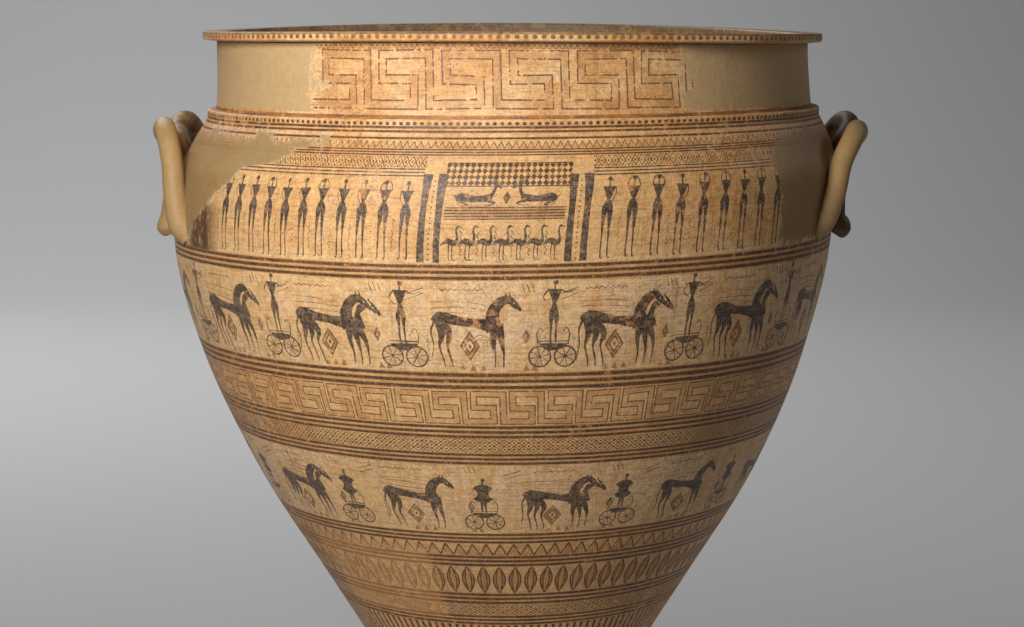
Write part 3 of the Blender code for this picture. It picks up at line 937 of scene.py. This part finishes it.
class Finish:
    def __init__(self, name):
        self.material = bpy.data.materials.new(name)
        self.material.use_nodes = True
        self.tree = self.material.node_tree
        self.tree.nodes.clear()

    def node(self, kind, settings=None, inputs=None, output=0):
        node = self.tree.nodes.new(kind)
        for name, value in (settings or {}).items():
            setattr(node, name, value)
        for name, value in (inputs or {}).items():
            if isinstance(value, Socket):
                self.tree.links.new(value.link, node.inputs[name])
            else:
                node.inputs[name].default_value = value
        return Socket(self, node.outputs[output])

    def attribute(self, name):
        vector = self.node("ShaderNodeAttribute", {"attribute_name": name}, output="Vector")
        return [self.node("ShaderNodeSeparateXYZ", {}, {0: vector}, output=i) for i in range(3)]

    def vector(self, x, y, z):
        return self.node("ShaderNodeCombineXYZ", {}, {0: x, 1: y, 2: z})

    def noise(self, place, scale, detail, rough=0.5, output=0):
        return self.node("ShaderNodeTexNoise", {}, {"Vector": place, "Scale": scale, "Detail": detail,
                                                    "Roughness": rough}, output)

    def blend(self, factor, first, second, way="MIX"):
        colours = [c if isinstance(c, Socket) else (*c, 1.0) for c in (first, second)]
        return self.node("ShaderNodeMix", {"data_type": "RGBA", "blend_type": way},
                         {0: factor, 6: colours[0], 7: colours[1]}, 2)

    def surface(self, base, roughness, height, bumpDistance, **constants):
        bump = self.node("ShaderNodeBump", {}, {"Strength": 1.0, "Distance": bumpDistance, "Height": height})
        shader = self.node("ShaderNodeBsdfPrincipled", {}, {"Base Color": base, "Roughness": roughness,
                                                            "Normal": bump, **constants})
        out = self.tree.nodes.new("ShaderNodeOutputMaterial")
        self.tree.links.new(shader.link, out.inputs[0])
        return self.material


# Colours as linear values. A noise has scale, detail, roughness; a brushed one runs along the turn and the
# height with two scales and a shift, then detail and roughness. A place has its middle, reach and soft edge.
clayLook = {
    "litClay": (0.71, 0.44, 0.20), "neckClay": (0.79, 0.52, 0.27), "paleClay": (0.86, 0.64, 0.41),
    "orangeClay": (0.66, 0.33, 0.115), "orangeDeep": (0.50, 0.22, 0.070), "brownStain": (0.25, 0.11, 0.045),
    "restored": (0.35, 0.222, 0.096), "restoredPale": (0.43, 0.30, 0.15),
    "restoredWarm": (0.40, 0.215, 0.070), "handle": (0.45, 0.285, 0.125), "neckPlain": (0.66, 0.45, 0.235),
    "filler": (0.72, 0.54, 0.36), "darkPaint": (0.040, 0.037, 0.032), "greyPaint": (0.14, 0.12, 0.095),
    # The dark paint of the inside, also used for the painted shade and old paint on the handle loops
    "brownPaint": (0.115, 0.058, 0.026), "insideAndLoopShadePaint": (0.05, 0.034, 0.022),
    "washPaint": (0.40, 0.175, 0.060), "grain": 0.0016,
    "broad": (5.5, 3.0, 0.55), "blotch": (19.0, 4.0, 0.6), "flake": (120.0, 5.0, 0.7),
    "grit": (430.0, 3.0, 0.65), "speckle": (420.0, 1.0, 0.4), "swirl": (26.0, 3.0), "seams": 6.5,
    "streaks": (3.0, 120.0, 0.0, 5.0, 0.66), "brush": (9.0, 520.0, 5.0, 3.0, 0.6),
    "drips": (34.0, 7.0, 3.0, 3.0, 0.6),
    "fadedTurn": (-0.66, 0.34, 0.08), "fadedHeight": (0.478, 0.048, 0.01), "scorchTurn": (-1.05, 0.09, 0.08),
    "beltHeight": (0.6955, 0.020, 0.004),
}


def clayFinish():
    f = Finish("firedClay")
    c = clayLook
    place = f.node("ShaderNodeTexCoord", output="Object")
    turn, height, tone = f.attribute("clayMap")
    run, cross, kind = f.attribute("bandMap")
    fill, inside, handle = f.attribute("stateMap")

    def brushed(turnScale, heightScale, shift, detail, rough):
        return f.noise(f.vector(turn * turnScale, height * heightScale, shift), 1.0, detail, rough)

    def over(base, *layers):
        for factor, colour in layers:
            base = f.blend(factor, base, c[colour])
        return base

    broad, blotch, flake = (f.noise(place, *c[name]) for name in ("broad", "blotch", "flake"))
    grain, speckle = (f.noise(place, *c[name]) for name in ("grit", "speckle"))
    streaks, brush, drips = (brushed(*c[name]) for name in ("streaks", "brush", "drips"))
    bent = f.node("ShaderNodeVectorMath", {"operation": "MULTIPLY_ADD"},
                  {0: f.noise(place, *c["swirl"], output="Color"), 1: (0.05, 0.05, 0.05), 2: place})
    seams = f.node("ShaderNodeTexVoronoi", {"feature": "DISTANCE_TO_EDGE"},
                   {"Vector": bent, "Scale": c["seams"]})

    # What the brush left: rings first, by kind
    wobble = blotch - 0.5
    beat = run.part()
    aside = (beat - 0.5).size()
    lineWidth = 0.245 + 0.30 * wobble + 0.16 * (flake - 0.5)
    lines = (cross + wobble * 0.2).part().near(0.5, lineWidth, 0.20)
    dots = ((beat - 0.5).power(2.0) + (cross - 0.5).power(2.0)).power(0.5).below(0.27 + 0.30 * wobble, 0.16)
    dots = dots * (1 - 0.38 * height.between(1.03, 1.04))  # the lip's dots are browner than the ledge's
    peak = 1 - aside * 2
    stripes = (run * 6.0 + cross * 1.5).part().below(0.40, 0.2)
    teeth = cross.near(peak, 0.11, 0.08).most(stripes * (cross - peak).below(0.0, 0.05) * 0.5)
    first, second = (run + cross).part(), (run - cross).part()
    across, along = (first - 0.5).size(), (second - 0.5).size()
    lozenges = (0.5 - across).least(0.5 - along).below(0.07, 0.06).most(across.most(along).below(0.15, 0.08))
    lobe = (cross * math.pi).sine() * 0.37
    leafInside = aside.near(lobe * 0.55, 0.045, 0.05) * cross.near(0.5, 0.36, 0.1)
    leaves = aside.near(lobe, 0.05, 0.05).most(leafInside).most((aside - lobe).below(0.0, 0.05) * 0.24)
    marks = {
        "lines": lines, "dots": dots, "teeth": teeth, "lozenges": lozenges, "leaves": leaves,
        "tongues": (run + cross * 0.35).part().near(0.5, 0.19 + 0.2 * wobble, 0.12),
        "wash": 0.46 + 1.9 * (streaks - 0.46),
        "hatch": tone * (0.66 + 0.55 * beat.below(0.4, 0.2)) * (0.55 + 0.6 * blotch.between(0.40, 0.58)),
        "cloth": ((first - 0.5) * (second - 0.5)).below(0.0, 0.02),
    }
    onFrieze, onLines, onNeck = kind.equals(0), kind.equals(kinds["lines"]), height.between(0.99, 1.0)
    drawn = tone * onFrieze + 0.10 * onLines
    for name, mark in marks.items():
        drawn = drawn + mark * kind.equals(kinds[name])
    gaps = (flake * 0.75 + streaks * 0.25).between(0.53, 0.57) * tone.between(0.76, 0.74) * onFrieze
    drawn = drawn * (1 - (0.5 + 0.4 * height.between(0.9, 1.0)) * gaps)  # thin lines have worn into dashes

    # Restored places are plain, with a ragged edge of pale filler
    edge = fill + wobble * 0.06 + (flake - 0.5) * 0.035
    restored = edge.between(-0.002, 0.002)
    filler = edge.size().below(0.0035, 0.006) * blotch.between(0.38, 0.60)
    speck, grit = flake.between(0.36, 0.64), grain.between(0.36, 0.64)
    loss = (flake * 0.72 + blotch * 0.28 + (broad - 0.5) * 0.30).between(0.54, 0.62)
    faded = turn.near(*c["fadedTurn"]) * height.near(*c["fadedHeight"])
    paint = drawn * (0.82 + 0.36 * speck) * (1 - loss * 0.75) * (1 - restored) * (1 - faded * 0.6)
    full = paint.between(0.42, 0.80)

    # The clay's own colour, in layers, each one a share and a colour
    bleached = (drips * 0.4 + broad * 0.4 + blotch * 0.2).between(0.42, 0.58) * 0.55 + 0.05
    bleached = bleached * onFrieze * height.below(0.86, 0.01)  # the friezes are paler than the ring lines
    ringGlow = onLines * streaks.between(0.38, 0.60) * 0.5
    spots = speckle.between(0.62, 0.68) * (broad * 0.5 + blotch * 0.5).between(0.44, 0.58)
    scorch = turn.near(*c["scorchTurn"]) * height.between(0.915, 0.890) * height.between(0.846, 0.854)
    ground = over(
        c["litClay"],
        (height.between(0.97, 1.0), "neckClay"),
        ((broad * 0.7 + blotch * 0.3).between(0.42, 0.62), "orangeClay"),
        (streaks.between(0.48, 0.72) * 0.6, "orangeClay"),
        ((broad * 0.3 + blotch * 0.5 + flake * 0.2).between(0.50, 0.66) * 0.6, "paleClay"),
        (onNeck * (blotch * 0.5 + broad * 0.5).between(0.49, 0.56) * 0.6, "orangeClay"),
        (bleached * (1 - 0.7 * height.near(*c["beltHeight"])), "paleClay"),
        ((brush.between(0.52, 0.66) * 0.60).most(ringGlow), "orangeDeep"),
        (brush.between(0.44, 0.30) * 0.15, "paleClay"),
        (drips.between(0.58, 0.74) * 0.45, "brownStain"),
        ((flake * 0.6 + blotch * 0.4).between(0.55, 0.66) * 0.6, "brownStain"),
        (spots * 0.45, "brownPaint"),
        (scorch * (drips * 0.5 + flake * 0.5).between(0.36, 0.50), "brownPaint"),
        (filler * 0.7, "filler"),
    )
    # Dark on the handle loops: their old paint, plus painted shade on their shaded backs and tops
    oldPaintAndShadeOnLoops = handle.between(1.0, 2.0) * (blotch * 0.6 + flake * 0.4).between(0.72, 0.40)
    plainClay = over(
        c["restored"],
        (blotch.between(0.35, 0.65) * 0.35, "restoredPale"),
        (broad.between(0.35, 0.7) * 0.5, "restoredWarm"),
        (onNeck * 0.75, "neckPlain"),
        (handle.least(1.0) * 0.8, "handle"),
        (oldPaintAndShadeOnLoops * 0.9, "insideAndLoopShadePaint"),
    )
    ground = f.blend(restored * (1 - 0.6 * filler), ground, plainClay)

    # Paint, seams and the dark inside over it
    fadedPaint = f.blend(onFrieze * tone.between(0.80, 0.90), c["brownPaint"], c["greyPaint"])
    worn = (streaks * 0.3 + flake * 0.4 + grain * 0.3).between(0.44, 0.58)
    paintColour = f.blend(worn, c["darkPaint"], fadedPaint)
    washed = over(ground, (paint.between(0.0, 0.45), "washPaint"))
    painted = f.blend(full * (0.98 - 0.32 * grit), washed, paintColour)
    seamLine = seams.below(0.003, 0.006) * broad.between(0.56, 0.62) * (1 - restored)
    painted = over(painted, (seamLine * 0.45, "filler"))
    innerShade = over(c["insideAndLoopShadePaint"], ((streaks * 0.6 + blotch * 0.4).between(0.42, 0.60), "brownPaint"),
                      ((blotch * 0.4 + flake * 0.6).between(0.49, 0.58) * 0.6, "restored"))
    base = f.blend(inside, painted, innerShade)
    mottle = 0.72 + (0.28 * speck + 0.26 * grit) * (1 - 0.7 * restored) + 0.16 * restored
    base = f.blend(1.0, base, f.vector(mottle, mottle, mottle), "MULTIPLY")

    roughness = 0.40 + 0.20 * flake - 0.08 * full + 0.10 * grain
    relief = grain * 0.12 + flake * 0.45 + streaks * 0.25 + blotch * 0.6 + full * 0.06 - seamLine * 0.5
    return f.surface(base, roughness, relief, c["grain"], **{"Specular IOR Level": 0.38})


stageLook = {"floorColour": (0.417, 0.42, 0.427), "fibreColour": (0.36, 0.36, 0.36), "wallDistance": 9.0,
             "bend": 3.0, "bendSteps": 12, "halfWidth": 12.0, "front": -9.0, "top": 7.0}


def stageSheet():
    s = stageLook
    flat = s["wallDistance"] - s["bend"]
    line = [(s["front"], 0.0), (flat, 0.0)]
    for step in range(1, s["bendSteps"] + 1):
        turn = math.pi / 2 * step / s["bendSteps"]
        line.append((flat + s["bend"] * math.sin(turn), s["bend"] * (1 - math.cos(turn))))
    line.append((s["wallDistance"], s["top"]))
    mesh = bpy.data.meshes.new("backdropSheet")
    points = [(side * s["halfWidth"], y, z) for y, z in line for side in (-1, 1)]
    mesh.from_pydata(points, [], [(2 * i, 2 * i + 1, 2 * i + 3, 2 * i + 2) for i in range(len(line) - 1)])
    mesh.shade_smooth()
    f = Finish("backdropPaper")
    fibre = f.noise(f.node("ShaderNodeTexCoord", output="Object"), 240.0, 2.0, 0.55)
    base = f.blend(fibre * 0.05, s["floorColour"], s["fibreColour"])
    mesh.materials.append(f.surface(base, 0.85 + fibre * 0.05, fibre, 0.0002))
    sheet = bpy.data.objects.new("backdropSheet", mesh)
    bpy.context.scene.collection.objects.link(sheet)


cameraPlace = {"location": (0.0006, -2.864, 1.124), "down": 7.43, "lens": 84.97, "sensor": 36.0}


def setCamera():
    c = cameraPlace
    camera = bpy.data.objects.new("camera", bpy.data.cameras.new("camera"))
    camera.data.lens = c["lens"]
    camera.data.sensor_width = c["sensor"]
    camera.location = c["location"]
    camera.rotation_euler = (math.radians(90 - c["down"]), 0, 0)
    bpy.context.scene.collection.objects.link(camera)
    bpy.context.scene.camera = camera


lamps = {  # name: place, size, watts, colour
    "keyLamp": ((-0.56, -1.38, 1.41), 0.4, 20.5, (1.0, 0.965, 0.90)),
    "fillLamp": ((-0.6, -3.1, 0.5), 2.0, 2.0, (1.0, 0.93, 0.80)),
    "rimLamp": ((2.4, 1.0, 1.9), 0.8, 8, (1.0, 0.97, 0.93)),
    "wallLamp": ((-2.4, 4.2, 4.6), 3.0, 298, (1.0, 1.0, 1.0)),
}
lampAims = {"wallLamp": (0.0, 4.8, 0.0), "rimLamp": (0.9, 2.2, 0.0)}
potMiddle = (0, 0, 0.75)  # where the other lamps point
roomLight = {"Color": (1.0, 0.94, 0.84, 1.0), "Strength": 0.055}


def setLights():
    for name, (place, size, watts, colour) in lamps.items():
        light = bpy.data.lights.new(name, "AREA")
        light.size = size
        light.energy = watts
        light.color = colour
        lamp = bpy.data.objects.new(name, light)
        lamp.location = place
        way = Vector(lampAims.get(name, potMiddle)) - lamp.location
        lamp.rotation_euler = way.to_track_quat("-Z", "Y").to_euler()
        bpy.context.scene.collection.objects.link(lamp)
    world = bpy.data.worlds.new("room")
    world.use_nodes = True
    for name, value in roomLight.items():
        world.node_tree.nodes["Background"].inputs[name].default_value = value
    bpy.context.scene.world = world
    bpy.context.scene.view_settings.view_transform = "Standard"


setCamera()
setLights()
stageSheet()
print("camera, lights and backdrop set")

potSkin = Skin()
potLine, potZones = potRows()
addTurned(potSkin, potLine, potZones)
for zone in potZones:
    if zone["kind"] == "picture":
        addPicture(potSkin, zone["top"], zone["bottom"], zone["draw"])
print("bowl turned and painted")
for handleLoop in handleLoops:
    addHandle(potSkin, handleLoop)
print("handles joined")
potPiece = potSkin.build("paintedKrater", clayFinish())
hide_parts("krater")
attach(potPiece, "root")
